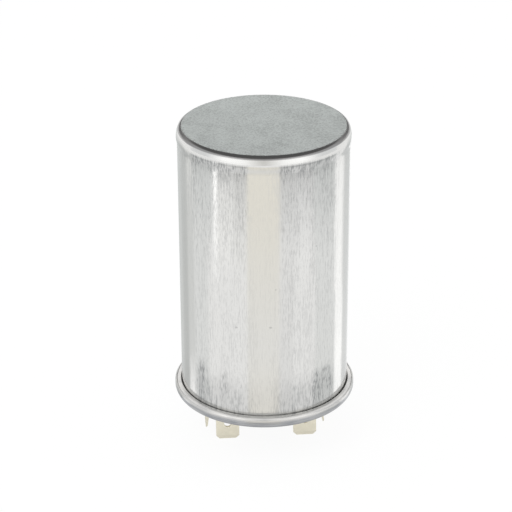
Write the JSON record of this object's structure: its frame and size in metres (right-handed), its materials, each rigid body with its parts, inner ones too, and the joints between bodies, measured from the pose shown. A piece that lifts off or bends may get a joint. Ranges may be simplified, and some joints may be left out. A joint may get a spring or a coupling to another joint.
{
  "type": "motor run capacitor",
  "caption": "Round oil-filled motor run capacitor: drawn aluminium can, double-seamed cover and riveted quick-connect tab terminals, standing on its tabs.",
  "frame": {"origin": "on the can's axis, in the plane of the wide tabs' tips, which is the surface that it stands on", "axes": "+Z along the can's axis towards the closed end, X through the two terminals, -Y towards the front tabs"},
  "size_m": [0.0488, 0.0488, 0.0898],
  "materials": {
    "drawn_aluminium": "drawn, with fine lengthwise streaks; blasted matte closed end",
    "seam_tinplate": "rolled tin-plated sheet",
    "sealing_compound": "cured sealing compound",
    "tab_tin": "tin-plated brass, dull",
    "rivet_tin": "tin-plated brass",
    "bushing_plastic": "moulded phenolic",
    "gasket_rubber": "black rubber",
    "washer_board": "pressed insulating board",
    "plate_phenolic": "moulded phenolic",
    "tag_brass": "thin foil",
    "core_plastic": "natural polypropylene",
    "zinc_spray": "sprayed zinc, rough",
    "wound_film": "metallised polypropylene film",
    "wrap_film": "polypropylene wrap",
    "lead_copper": "tinned copper wire",
    "sleeve_plastic": "insulating sleeve"
  },
  "bodies": {
    "root": {"can": "drawn_aluminium", "cover": "seam_tinplate", "seam_compound": "sealing_compound", "left_wide_tabs": "tab_tin", "right_wide_tabs": "tab_tin", "left_narrow_tabs": "tab_tin", "right_narrow_tabs": "tab_tin", "left_bushing": "bushing_plastic", "right_bushing": "bushing_plastic", "left_gasket": "gasket_rubber", "right_gasket": "gasket_rubber", "left_rivet": "rivet_tin", "right_rivet": "rivet_tin", "left_inner_washer": "washer_board", "right_inner_washer": "washer_board", "left_collar": "rivet_tin", "right_collar": "rivet_tin", "disconnect_plate": "plate_phenolic", "left_break_tag": "tag_brass", "right_break_tag": "tag_brass", "spacer_ring": "core_plastic", "lower_end_spray": "zinc_spray", "winding": "wound_film", "upper_end_spray": "zinc_spray", "core_tube": "core_plastic", "film_wrap": "wrap_film", "end_cup": "core_plastic", "short_lead": "lead_copper", "long_lead": "lead_copper", "lead_sleeve": "sleeve_plastic"}
  },
  "joints": []
}
